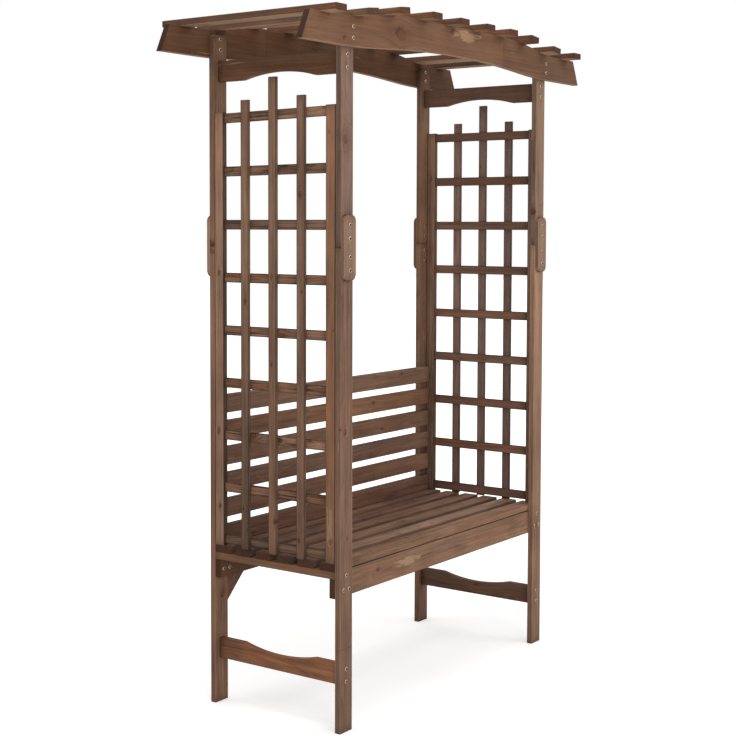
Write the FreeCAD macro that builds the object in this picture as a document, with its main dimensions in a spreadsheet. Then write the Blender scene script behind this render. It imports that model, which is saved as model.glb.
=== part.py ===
"""Arbour seat in planed softwood: a slatted bench between two trellis ends under an arched slat roof.

+X runs along the bench from the left end to the right end, -Y is the open front and +Z is up.
The origin is on the ground at the middle of the footprint. Lengths are in millimetres.
"""
import FreeCAD, Part
import math
import os
import Sketcher

Vector = FreeCAD.Vector
Rotation = FreeCAD.Rotation
Placement = FreeCAD.Placement

# Driving dimensions: alias, value, meaning.
SIZES = [
    ("leg_span", 1132, "outer faces of the posts, end to end"),
    ("clear_depth", 438, "between the facing sides of the front and back posts"),
    ("post_width", 55, "post section along X"),
    ("post_thickness", 18, "post section along Y"),
    ("post_height", 1950, "top of the posts"),
    ("splice_height", 1342, "butt joint between the lower and upper post lengths"),
    ("post_corner", 10, "rounding of the post tops"),
    ("plate_length", 180, "splice plate"),
    ("plate_thickness", 11, "splice plate"),
    ("plate_corner", 19, "rounding of the splice plate corners"),
    ("board_edge", 1.5, "chamfer along the long edges of the slats"),
    ("seat_base", 450, "top of the seat frame, where the seat slats rest"),
    ("seat_slat_width", 55, "seat slat"),
    ("seat_slat_thickness", 21, "seat slat"),
    ("bearer_thickness", 21, "seat bearer, let into the seat rails"),
    ("seat_rail_height", 75, "front apron and rear seat rail"),
    ("seat_rail_thickness", 20, "front apron and rear seat rail"),
    ("brace_leg", 155, "upright and level sides of the corner brace"),
    ("back_slat_inset", 26, "ends of the backrest slats inside the outer faces of the posts"),
    ("back_slat_width", 54, "backrest slat"),
    ("back_slat_thickness", 20, "backrest slat"),
    ("back_slat_gap", 22.6, "open height between backrest slats"),
    ("back_slat_rise", 2, "clearance between the seat and the lowest backrest slat"),
    ("side_board_height", 59, "top side rail and floor stretcher"),
    ("side_board_thickness", 20, "top side rail and floor stretcher"),
    ("scoop_half", 130, "half length of the curved cut in a side board"),
    ("scoop_depth", 17, "depth of the curved cut in a side board"),
    ("stretcher_base", 132, "underside of the floor stretcher"),
    ("side_rail_drop", 76, "top side rail below the post tops"),
    ("stile_width", 32, "trellis stile along Y"),
    ("stile_thickness", 16, "trellis stile along X"),
    ("stile_drop", 225, "top of the trellis stiles below the post tops"),
    ("stile_clearance", 2, "gap between a stile and its post"),
    ("lath_width", 28, "trellis rails and uprights"),
    ("lath_thickness", 10, "trellis rails and uprights"),
    ("lattice_proud", 5, "how far the uprights stand outside the stiles"),
    ("lattice_rise", 7, "lowest rail above the seat"),
    ("lattice_drop", 3, "top rail below the stile tops"),
    ("upright_spacing", 101, "spacing of the trellis uprights"),
    ("outer_upright_rise", 31, "outer trellis uprights above the stiles"),
    ("middle_upright_rise", 88, "middle trellis upright above the stiles"),
    ("top_rail_tilt", 6, "left top rail, front end above its back end"),
    ("second_rail_tilt", 3, "left second rail, front end above its back end"),
    ("tall_stile_extra", 5, "left front stile above the others"),
    ("tall_middle_extra", 2.5, "left middle upright above the right one"),
    ("tall_front_extra", 4, "left front upright above the right one"),
    ("beam_thickness", 20, "roof beam"),
    ("beam_overhang", 197, "underside of a roof beam past the outer faces of the posts"),
    ("beam_end_slope", 36, "how much shorter the top of a roof beam is at each end"),
    ("beam_drop", 66, "underside of a roof beam at its ends below the post tops"),
    ("beam_lift", 25, "rise of the underside at the middle"),
    ("beam_height", 79, "height of a roof beam at its ends"),
    ("beam_crown", 32, "rise of the top at the middle"),
    ("foot_curve_half", 600, "where the curve of the underside ends"),
    ("foot_bend_half", 380, "where the curve of the underside turns the other way"),
    ("head_curve_half", 625, "where the curve of the top ends"),
    ("head_bend_half", 455, "where the curve of the top turns the other way"),
    ("head_flat_half", 250, "half length of the flat part of the crown"),
    ("roof_overhang", 51, "roof slats past the outer faces of the beams"),
    ("roof_edge", 66.85, "middle of an end slat from the end of the beam's top"),
    ("roof_slat_width", 49, "roof slat"),
    ("roof_slat_thickness", 19, "roof slat"),
    ("roof_shift_3", 4, "third roof slat, to the right of its even place"),
    ("roof_shift_4", 23, "fourth roof slat, to the right of its even place"),
    ("roof_shift_5", 24, "fifth roof slat, to the right of its even place"),
    ("roof_shift_6", 26, "sixth roof slat, to the right of its even place"),
    ("roof_shift_7", 18, "seventh roof slat, to the right of its even place"),
    ("roof_shift_8", 5, "eighth roof slat, to the right of its even place"),
    ("roof_shift_9", 5, "ninth roof slat, to the right of its even place"),
    ("housing_depth", 2, "depth that a roof slat is let into the beams"),
    ("housing_clearance", 0.5, "side gap of a roof slat in its housing"),
    ("screw_shank", 5, "screw diameter"),
    ("screw_head", 12, "diameter of the screw head"),
    ("screw_crown", 7, "diameter of the flat middle of the screw head"),
    ("screw_dome", 3.2, "height of the screw head"),
    ("screw_point", 5, "length of the screw point"),
    ("screw_tip", 1, "diameter of the blunt end of the screw point"),
    ("screw_clearance", 0.3, "extra diameter of the screw holes"),
    ("frame_screw", 60, "length of the screws into end grain"),
    ("splice_screw", 27, "length of the splice screws"),
    ("beam_screw", 36, "length of the roof beam screws"),
    ("rail_screw", 34, "length of the seat rail screws"),
    ("splice_inner", 25, "inner splice screws from the butt joint"),
    ("splice_outer", 62, "outer splice screws from the butt joint"),
    ("beam_screw_low", 43, "lower roof beam screws below the post tops"),
    ("beam_screw_high", 13, "upper roof beam screws below the post tops"),
    ("side_screw_near", 10, "side board screw from the straight edge"),
    ("side_screw_far", 45, "second side board screw from the straight edge"),
    ("seat_rail_screw", 400, "height of the seat rail screws"),
    ("seat_rail_spread", 12.5, "seat rail screws from the middle of the post"),
]
SEAT_SLATS = 6
BACK_SLATS = 6
LATTICE_RAILS = 9
ROOF_SLATS = 10
SHIFTED_SLATS = range(3, 10)
TILTED_RAILS = {("left", 0): "Sizes.top_rail_tilt", ("left", 1): "Sizes.second_rail_tilt"}
TALL_STILES = {("left", "front"): "Sizes.tall_stile_extra"}
TALL_UPRIGHTS = {("left", 0): "Sizes.tall_middle_extra", ("left", -1): "Sizes.tall_front_extra"}
HEAD_SIDES = 12
SHANK_SIDES = 6

os.makedirs("parts", exist_ok=True)
doc = FreeCAD.newDocument("ArbourSeat")
sheet = doc.addObject("Spreadsheet::Sheet", "Sizes")
sheet.Label = "Sizes"
for row, (alias, value, meaning) in enumerate(SIZES, start=1):
    sheet.set(f"A{row}", meaning)
    sheet.set(f"B{row}", str(value))
    sheet.setAlias(f"B{row}", alias)
doc.recompute()


def size(alias):
    """The number that the sheet holds under an alias."""
    return float(sheet.get(alias))


# Positions that several pieces share, as expressions on the sheet.
HALF_SPAN = "(Sizes.leg_span / 2)"
HALF_CLEAR = "(Sizes.clear_depth / 2)"
LEG_FACE = "(Sizes.clear_depth / 2 + Sizes.post_thickness)"
SEAT_TOP = "(Sizes.seat_base + Sizes.seat_slat_thickness)"
UPPER_LENGTH = "(Sizes.post_height - Sizes.splice_height)"
BEARER_BASE = "(Sizes.seat_base - Sizes.bearer_thickness)"
RAIL_BASE = "(Sizes.seat_base - Sizes.seat_rail_height)"
STILE_TOP = "(Sizes.post_height - Sizes.stile_drop)"
TOP_RAIL = f"({STILE_TOP} - Sizes.lattice_drop - Sizes.lath_width)"
LATTICE_PITCH = f"(({TOP_RAIL} - {SEAT_TOP} - Sizes.lattice_rise) / {LATTICE_RAILS - 1})"
BEAM_FOOT = "(Sizes.post_height - Sizes.beam_drop)"
BEAM_HALF = "(Sizes.leg_span / 2 + Sizes.beam_overhang)"
ROOF_DEPTH = f"(2 * ({LEG_FACE} + Sizes.beam_thickness + Sizes.roof_overhang))"
SIDES = {"left": -1, "right": 1}
ENDS = {"front": -1, "back": 1}

nodes = []


def keep(obj, label):
    """Give a finished sub-part its name and list it for export."""
    obj.Label = label
    nodes.append(obj)
    return obj


def place(obj, x, y, z):
    """Bind an object's position to expressions."""
    for axis, expression in zip("xyz", (x, y, z)):
        obj.setExpression(f"Placement.Base.{axis}", str(expression))


def side_start(side, width, inset="0"):
    """Lower X of a piece of this width whose outer face lies inset from the post's outer face."""
    if SIDES[side] < 0:
        return f"-{HALF_SPAN} + {inset}"
    return f"{HALF_SPAN} - {inset} - {width}"


def end_start(end, inner, depth):
    """Lower Y of a piece that reaches outwards from the distance inner by depth."""
    if ENDS[end] < 0:
        return f"-({inner}) - ({depth})"
    return f"{inner}"


def box(name, length, width, height, x, y, z):
    """A plain bar or a cutting block."""
    block = doc.addObject("Part::Box", name)
    block.setExpression("Length", str(length))
    block.setExpression("Width", str(width))
    block.setExpression("Height", str(height))
    place(block, x, y, z)
    return block


def sloped_bar(name, length, width, height, rise, x, y, z):
    """A bar along Y whose front end is higher than its back end, with both ends upright."""
    bar = doc.addObject("Part::Wedge", name)
    bounds = {"Xmin": "0 mm", "X2min": "0 mm", "Xmax": length, "X2max": length, "Ymin": "0 mm",
              "Ymax": width, "Zmin": rise, "Zmax": f"{rise} + {height}", "Z2min": "0 mm",
              "Z2max": height}
    for bound, expression in bounds.items():
        bar.setExpression(bound, str(expression))
    place(bar, x, y, z)
    return bar


def cut(name, base, tool):
    """One solid less another."""
    result = doc.addObject("Part::Cut", name)
    result.Base = base
    result.Tool = tool
    return result


def group(name, shapes):
    """One object that holds several solids."""
    compound = doc.addObject("Part::Compound", name)
    compound.Links = shapes
    return compound


def origin_plane(body, role):
    """One of a body's own base planes."""
    return next(feature for feature in body.Origin.OriginFeatures if feature.Role == role)


def sketch_on(body, role, name):
    """An empty sketch on a base plane of a body."""
    sketch = body.newObject("Sketcher::SketchObject", name)
    sketch.AttachmentSupport = [(origin_plane(body, role), "")]
    sketch.MapMode = "FlatFace"
    return sketch


def rectangle(sketch, width, height):
    """A rectangle from the sketch's origin, with both sides bound to expressions."""
    corners = [Vector(0, 0), Vector(50, 0), Vector(50, 20), Vector(0, 20)]
    for start, finish in zip(corners, corners[1:] + corners[:1]):
        sketch.addGeometry(Part.LineSegment(start, finish))
    for line in range(4):
        sketch.addConstraint(Sketcher.Constraint("Coincident", line, 2, (line + 1) % 4, 1))
    for line, direction in enumerate(["Horizontal", "Vertical", "Horizontal", "Vertical"]):
        sketch.addConstraint(Sketcher.Constraint(direction, line))
    sketch.addConstraint(Sketcher.Constraint("Coincident", 0, 1, -1, 1))
    bind(sketch, Sketcher.Constraint("DistanceX", 0, 1, 0, 2, 50), width)
    bind(sketch, Sketcher.Constraint("DistanceY", 1, 1, 1, 2, 20), height)


def bind(sketch, constraint, expression):
    """Add a dimension and bind it to an expression."""
    index = sketch.addConstraint(constraint)
    sketch.setExpression(f"Constraints[{index}]", str(expression))


def pad(body, sketch, depth, name):
    """Extrude a sketch along its normal."""
    feature = body.newObject("PartDesign::Pad", name)
    feature.Profile = sketch
    feature.setExpression("Length", str(depth))
    sketch.Visibility = False
    doc.recompute()
    return feature


def edges_along(shape, axis, pick=lambda middle: True):
    """Names of the straight edges parallel to an axis whose middle is wanted."""
    found = []
    for number, edge in enumerate(shape.Edges, start=1):
        first, last = edge.Vertexes[0].Point, edge.Vertexes[-1].Point
        run = (last - first).normalize()
        if abs(run.dot(axis)) > 0.999 and pick(edge.CenterOfMass):
            found.append(f"Edge{number}")
    return found


def ease(body, feature, axis, kind, amount, pick=lambda middle: True):
    """Round or bevel the edges of a body that run along an axis."""
    dressing = body.newObject(f"PartDesign::{kind}", f"{body.Name}_{kind}")
    dressing.Base = (feature, edges_along(feature.Shape, axis, pick))
    dressing.setExpression({"Fillet": "Radius", "Chamfer": "Size"}[kind], str(amount))
    body.Tip = dressing
    doc.recompute()
    return dressing


def slat(name, length, width, thickness, axis):
    """A slat with bevelled long edges, its lower corner at the body's origin."""
    plane, along = {"X": ("YZ_Plane", Vector(1, 0, 0)), "Y": ("XZ_Plane", Vector(0, 1, 0))}[axis]
    body = doc.addObject("PartDesign::Body", name)
    sketch = sketch_on(body, plane, f"{name}_section")
    rectangle(sketch, width, thickness)
    block = pad(body, sketch, length, f"{name}_length")
    ease(body, block, along, "Chamfer", "Sizes.board_edge")
    return body


# Screws: where each one starts, which way it points along Y, and its length.
screws = {"splice_screws": [], "roof_beam_screws": [], "frame_screws": []}


def add_screw(kind, x, y, z, direction, length):
    """Note a screw whose head sits on the face at y."""
    screws[kind].append((Vector(x, y, z), direction, size(length)))


def plan_screws():
    """Every screw in the frame. The heads face the front, except behind the back posts."""
    middle = size("leg_span") / 2 - size("post_width") / 2
    clear = size("clear_depth") / 2
    face = clear + size("post_thickness")
    plate_face = face + size("plate_thickness")
    beam_face = face + size("beam_thickness")
    rail_face = clear - size("seat_rail_thickness")
    bearer_middle = size("seat_base") - size("bearer_thickness") / 2
    rail_top = size("post_height") - size("side_rail_drop")
    board_heights = []
    for offset in (size("side_screw_near"), size("side_screw_far")):
        board_heights += [size("stretcher_base") + offset, rail_top - offset]
    for x in (-middle, middle):
        for offset in (size("splice_inner"), size("splice_outer")):
            for z in (size("splice_height") - offset, size("splice_height") + offset):
                add_screw("splice_screws", x, -plate_face, z, 1, "splice_screw")
                add_screw("splice_screws", x, clear, z, 1, "splice_screw")
        for drop in (size("beam_screw_low"), size("beam_screw_high")):
            z = size("post_height") - drop
            add_screw("roof_beam_screws", x, -beam_face, z, 1, "beam_screw")
            add_screw("roof_beam_screws", x, clear, z, 1, "beam_screw")
        for z in board_heights + [bearer_middle]:
            add_screw("frame_screws", x, -face, z, 1, "frame_screw")
            add_screw("frame_screws", x, face, z, -1, "frame_screw")
        for offset in (-size("seat_rail_spread"), size("seat_rail_spread")):
            z = size("seat_rail_screw")
            add_screw("frame_screws", x + offset, -face, z, 1, "rail_screw")
            add_screw("frame_screws", x + offset, rail_face, z, 1, "rail_screw")


def faceted(sides, rings):
    """A many-sided turned solid through rings of (radius, height), flat at both ends."""
    loops = []
    for radius, height in rings:
        angles = [2 * math.pi * corner / sides for corner in range(sides)]
        loop = [Vector(radius * math.cos(angle), radius * math.sin(angle), height) for angle in angles]
        loops.append(loop + loop[:1])
    faces = [Part.Face(Part.makePolygon(loop)) for loop in (loops[0], loops[-1])]
    for low, high in zip(loops, loops[1:]):
        for corner in range(sides):
            border = [low[corner], low[corner + 1], high[corner + 1], high[corner], low[corner]]
            faces.append(Part.Face(Part.makePolygon(border)))
    return Part.Solid(Part.Shell(faces))


def screw_shape(length):
    """A raised head below the origin and a pointed shank along +Z."""
    shank, neck = size("screw_shank") / 2, length - size("screw_point")
    head = faceted(HEAD_SIDES, [(size("screw_crown") / 2, -size("screw_dome")),
                                (size("screw_head") / 2, 0)])
    return head.fuse(faceted(SHANK_SIDES, [(shank, 0), (shank, neck), (size("screw_tip") / 2, length)]))


def make_screws():
    """The three groups of screws, and one group of the holes that they need."""
    radius = (size("screw_shank") + size("screw_clearance")) / 2
    holes = []
    for kind, places in screws.items():
        solids = []
        for start, direction, length in places:
            turn = Rotation(Vector(0, 0, 1), Vector(0, direction, 0))
            solid = screw_shape(length)
            solid.Placement = Placement(start, turn)
            solids.append(solid)
            hole = faceted(SHANK_SIDES, [(radius, 0), (radius, length)])
            hole.Placement = Placement(start, turn)
            holes.append(hole)
        feature = doc.addObject("Part::Feature", kind)
        feature.Shape = Part.makeCompound(solids)
        keep(feature, kind)
    drill = doc.addObject("Part::Feature", "screw_holes")
    drill.Shape = Part.makeCompound(holes)
    return drill


plan_screws()
screw_holes = make_screws()


def drilled(name, solid):
    """A board less the screw holes, kept under its node name."""
    return keep(cut(f"{name}_drilled", solid, screw_holes), name)


def make_posts():
    """Four posts, each a lower and an upper length butted together."""
    for end in ENDS:
        for side in SIDES:
            x = side_start(side, "Sizes.post_width")
            y = end_start(end, HALF_CLEAR, "Sizes.post_thickness")
            lower = box(f"lower_{end}_{side}", "Sizes.post_width", "Sizes.post_thickness",
                        "Sizes.splice_height", x, y, "0")
            drilled(f"post_lower_{end}_{side}", lower)
            upper = doc.addObject("PartDesign::Body", f"upper_{end}_{side}")
            sketch = sketch_on(upper, "XY_Plane", f"upper_{end}_{side}_section")
            rectangle(sketch, "Sizes.post_width", "Sizes.post_thickness")
            block = pad(upper, sketch, UPPER_LENGTH, f"upper_{end}_{side}_length")
            middle = (size("post_height") - size("splice_height")) / 2
            ease(upper, block, Vector(0, 1, 0), "Fillet", "Sizes.post_corner", lambda c: c.z > middle)
            place(upper, x, y, "Sizes.splice_height")
            drilled(f"post_upper_{end}_{side}", upper)


def make_splice_plates():
    """A plate over each butt joint, on the outer face of the post."""
    for end in ENDS:
        for side in SIDES:
            name = f"plate_{end}_{side}"
            body = doc.addObject("PartDesign::Body", name)
            sketch = sketch_on(body, "XY_Plane", f"{name}_section")
            rectangle(sketch, "Sizes.post_width", "Sizes.plate_thickness")
            block = pad(body, sketch, "Sizes.plate_length", f"{name}_length")
            ease(body, block, Vector(0, 1, 0), "Fillet", "Sizes.plate_corner")
            place(body, side_start(side, "Sizes.post_width"),
                  end_start(end, LEG_FACE, "Sizes.plate_thickness"),
                  "Sizes.splice_height - Sizes.plate_length / 2")
            drilled(f"splice_plate_{end}_{side}", body)


def scooped_board(name):
    """A board along Y with a long shallow scoop in its upper edge, centred on the body's origin."""
    body = doc.addObject("PartDesign::Body", name)
    sketch = sketch_on(body, "YZ_Plane", f"{name}_outline")
    length, height, scoop, depth = 200.0, 64.0, 130.0, 17.0
    sweep = (scoop * scoop + depth * depth) / (2 * depth)
    corners = [Vector(-length, 0), Vector(length, 0), Vector(length, height), Vector(scoop, height)]
    corners += [Vector(-scoop, height), Vector(-length, height)]
    arc_middle = Vector(0, height - depth)
    for start, finish in zip(corners[:3], corners[1:4]):
        sketch.addGeometry(Part.LineSegment(start, finish))
    sketch.addGeometry(Part.Arc(corners[4], arc_middle, corners[3]))
    sketch.addGeometry(Part.LineSegment(corners[4], corners[5]))
    sketch.addGeometry(Part.LineSegment(corners[5], corners[0]))
    for first, point, second, other in [(0, 2, 1, 1), (1, 2, 2, 1), (2, 2, 3, 2), (3, 1, 4, 1),
                                        (4, 2, 5, 1), (5, 2, 0, 1)]:
        sketch.addConstraint(Sketcher.Constraint("Coincident", first, point, second, other))
    for line, direction in [(1, "Vertical"), (2, "Horizontal"), (4, "Horizontal"), (5, "Vertical")]:
        sketch.addConstraint(Sketcher.Constraint(direction, line))
    sketch.addConstraint(Sketcher.Constraint("PointOnObject", 0, 1, -1))
    sketch.addConstraint(Sketcher.Constraint("Symmetric", 0, 1, 0, 2, -2))
    sketch.addConstraint(Sketcher.Constraint("Symmetric", 3, 1, 3, 2, -2))
    bind(sketch, Sketcher.Constraint("DistanceX", 0, 1, 0, 2, 2 * length), "Sizes.clear_depth")
    bind(sketch, Sketcher.Constraint("DistanceY", 1, 1, 1, 2, height), "Sizes.side_board_height")
    bind(sketch, Sketcher.Constraint("DistanceX", 3, 1, 3, 2, 2 * scoop), "2 * Sizes.scoop_half")
    bind(sketch, Sketcher.Constraint("Radius", 3, sweep),
         "(Sizes.scoop_half ^ 2 + Sizes.scoop_depth ^ 2) / (2 * Sizes.scoop_depth)")
    pad(body, sketch, "Sizes.side_board_thickness", f"{name}_thickness")
    return body


def make_side_boards():
    """A floor stretcher and a top side rail at each end: the same board, one of them turned over."""
    inset = "(Sizes.post_width - Sizes.side_board_thickness) / 2"
    for side in SIDES:
        x = side_start(side, "Sizes.side_board_thickness", inset)
        stretcher = scooped_board(f"stretcher_{side}")
        place(stretcher, x, "0", "Sizes.stretcher_base")
        drilled(f"side_stretcher_{side}", stretcher)
        rail = scooped_board(f"top_rail_{side}")
        rail.Placement = Placement(Vector(0, 0, 0), Rotation(Vector(1, 0, 0), 180))
        place(rail, x, "0", "Sizes.post_height - Sizes.side_rail_drop")
        drilled(f"side_rail_top_{side}", rail)


def make_seat_frame():
    """The apron, the rear seat rail, their corner braces and the bearers let into them."""
    notch_right = f"{HALF_SPAN} - Sizes.post_width"
    for end, label in (("front", "seat_apron_front"), ("back", "seat_rail_back")):
        y = f"-{HALF_CLEAR}" if end == "front" else f"{HALF_CLEAR} - Sizes.seat_rail_thickness"
        board = box(f"{label}_board", "Sizes.leg_span", "Sizes.seat_rail_thickness",
                    "Sizes.seat_rail_height", f"-{HALF_SPAN}", y, RAIL_BASE)
        notches = [box(f"{label}_notch_{side}", "Sizes.post_width", "Sizes.seat_rail_thickness",
                       "Sizes.bearer_thickness", x, y, BEARER_BASE)
                   for side, x in (("left", f"-{HALF_SPAN}"), ("right", notch_right))]
        notched = cut(f"{label}_notched", board, group(f"{label}_notches", notches))
        drilled(label, notched)
    for side in SIDES:
        bearer = box(f"bearer_{side}", "Sizes.post_width", "Sizes.clear_depth",
                     "Sizes.bearer_thickness", side_start(side, "Sizes.post_width"),
                     f"-{HALF_CLEAR}", BEARER_BASE)
        drilled(f"seat_bearer_{side}", bearer)
    middle = box("bearer_middle", "Sizes.post_width",
                 "Sizes.clear_depth - 2 * Sizes.seat_rail_thickness", "Sizes.bearer_thickness",
                 "-Sizes.post_width / 2", f"-{HALF_CLEAR} + Sizes.seat_rail_thickness", BEARER_BASE)
    keep(middle, "seat_bearer_middle")


def make_corner_braces():
    """A triangular block behind the rear seat rail, against the inner side of each back post."""
    for side, sign in SIDES.items():
        name = f"brace_{side}"
        body = doc.addObject("PartDesign::Body", name)
        sketch = sketch_on(body, "XZ_Plane", f"{name}_outline")
        leg = 100.0
        corners = [Vector(0, 0), Vector(0, -leg), Vector(-sign * leg, 0)]
        for start, finish in zip(corners, corners[1:] + corners[:1]):
            sketch.addGeometry(Part.LineSegment(start, finish))
        for line in range(3):
            sketch.addConstraint(Sketcher.Constraint("Coincident", line, 2, (line + 1) % 3, 1))
        sketch.addConstraint(Sketcher.Constraint("Coincident", 0, 1, -1, 1))
        sketch.addConstraint(Sketcher.Constraint("Vertical", 0))
        sketch.addConstraint(Sketcher.Constraint("Horizontal", 2))
        bind(sketch, Sketcher.Constraint("DistanceY", 0, 2, 0, 1, leg), "Sizes.brace_leg")
        ends = (2, 1, 2, 2) if sign > 0 else (2, 2, 2, 1)
        bind(sketch, Sketcher.Constraint("DistanceX", *ends, leg), "Sizes.brace_leg")
        pad(body, sketch, "Sizes.post_thickness", f"{name}_thickness")
        inner = f"{sign} * ({HALF_SPAN} - Sizes.post_width)"
        place(body, inner, LEG_FACE, "Sizes.seat_base")
        keep(body, f"corner_brace_{side}")


def make_seat_slats():
    """Seat slats laid along X on the bearers, spread from the front posts to the back posts."""
    step = f"(Sizes.clear_depth - Sizes.seat_slat_width) / {SEAT_SLATS - 1}"
    for number in range(SEAT_SLATS):
        body = slat(f"seat_slat_{number + 1}", "Sizes.leg_span", "Sizes.seat_slat_width",
                    "Sizes.seat_slat_thickness", "X")
        place(body, f"-{HALF_SPAN}", f"-{HALF_CLEAR} + {number} * {step}", "Sizes.seat_base")
        keep(body, f"seat_slat_{number + 1}")


def make_back_slats():
    """Backrest slats on the front faces of the back posts, counted from the seat up."""
    step = "(Sizes.back_slat_width + Sizes.back_slat_gap)"
    half_length = f"({HALF_SPAN} - Sizes.back_slat_inset)"
    for number in range(BACK_SLATS):
        body = slat(f"back_slat_{number + 1}", f"2 * {half_length}", "Sizes.back_slat_thickness",
                    "Sizes.back_slat_width", "X")
        place(body, f"-{half_length}", f"{HALF_CLEAR} - Sizes.back_slat_thickness",
              f"{SEAT_TOP} + Sizes.back_slat_rise + {number} * {step}")
        keep(body, f"backrest_slat_{number + 1}")


def make_trellis(side):
    """One end panel: two stiles, rails between them, and uprights nailed to the rails from outside."""
    stile_x = side_start(side, "Sizes.stile_thickness")
    upright_x = side_start(side, "Sizes.lath_thickness", "(-Sizes.lattice_proud)")
    rail_x = side_start(side, "Sizes.lath_thickness", "(Sizes.lath_thickness - Sizes.lattice_proud)")
    stile_inner = "(Sizes.clear_depth / 2 - Sizes.stile_clearance - Sizes.stile_width)"
    for end in ENDS:
        extra = TALL_STILES.get((side, end), "0")
        stile = box(f"stile_{side}_{end}", "Sizes.stile_thickness", "Sizes.stile_width",
                    f"{STILE_TOP} - {SEAT_TOP} + {extra}", stile_x,
                    end_start(end, stile_inner, "Sizes.stile_width"), SEAT_TOP)
        keep(stile, f"trellis_{side}_stile_{end}")
    rails = []
    for number in range(LATTICE_RAILS):
        name = f"rail_{side}_{number + 1}"
        section = ["Sizes.lath_thickness", f"2 * {stile_inner}", "Sizes.lath_width"]
        corner = [rail_x, f"-{stile_inner}", f"{TOP_RAIL} - {number} * {LATTICE_PITCH}"]
        if (side, number) in TILTED_RAILS:
            rails.append(sloped_bar(name, *section, TILTED_RAILS[side, number], *corner))
        else:
            rails.append(box(name, *section, *corner))
    keep(group(f"rails_{side}", rails), f"trellis_{side}_rails")
    uprights = []
    for place_number, rise in ((-1, "outer"), (0, "middle"), (1, "outer")):
        extra = TALL_UPRIGHTS.get((side, place_number), "0")
        height = f"{STILE_TOP} + Sizes.{rise}_upright_rise - {SEAT_TOP} + {extra}"
        uprights.append(box(f"upright_{side}_{place_number + 2}", "Sizes.lath_thickness",
                            "Sizes.lath_width", height, upright_x,
                            f"{place_number} * Sizes.upright_spacing - Sizes.lath_width / 2", SEAT_TOP))
    keep(group(f"uprights_{side}", uprights), f"trellis_{side}_uprights")


def beam_ends():
    """Half length at the underside, half length at the top, and the heights of both at the ends."""
    half_foot = size("leg_span") / 2 + size("beam_overhang")
    foot = size("post_height") - size("beam_drop")
    return half_foot, half_foot - size("beam_end_slope"), foot, foot + size("beam_height")


def crown_height(x):
    """Height and slope of the top edge of a roof beam at a distance x from the middle."""
    flat, bend, end = size("head_flat_half"), size("head_bend_half"), size("head_curve_half")
    drop = size("beam_crown")
    top = beam_ends()[-1] + drop
    away = abs(x)
    steepest = 2 * math.atan(drop / (end - flat))
    hump = (bend - flat) / math.sin(steepest)
    hollow = (end - bend) / math.sin(steepest)
    if away <= flat:
        return top, 0.0
    if away <= bend:
        angle = math.asin((away - flat) / hump)
        return top - hump * (1 - math.cos(angle)), -math.copysign(angle, x)
    if away <= end:
        angle = math.asin((end - away) / hollow)
        return top - drop + hollow * (1 - math.cos(angle)), -math.copysign(angle, x)
    return top - drop, 0.0


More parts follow.
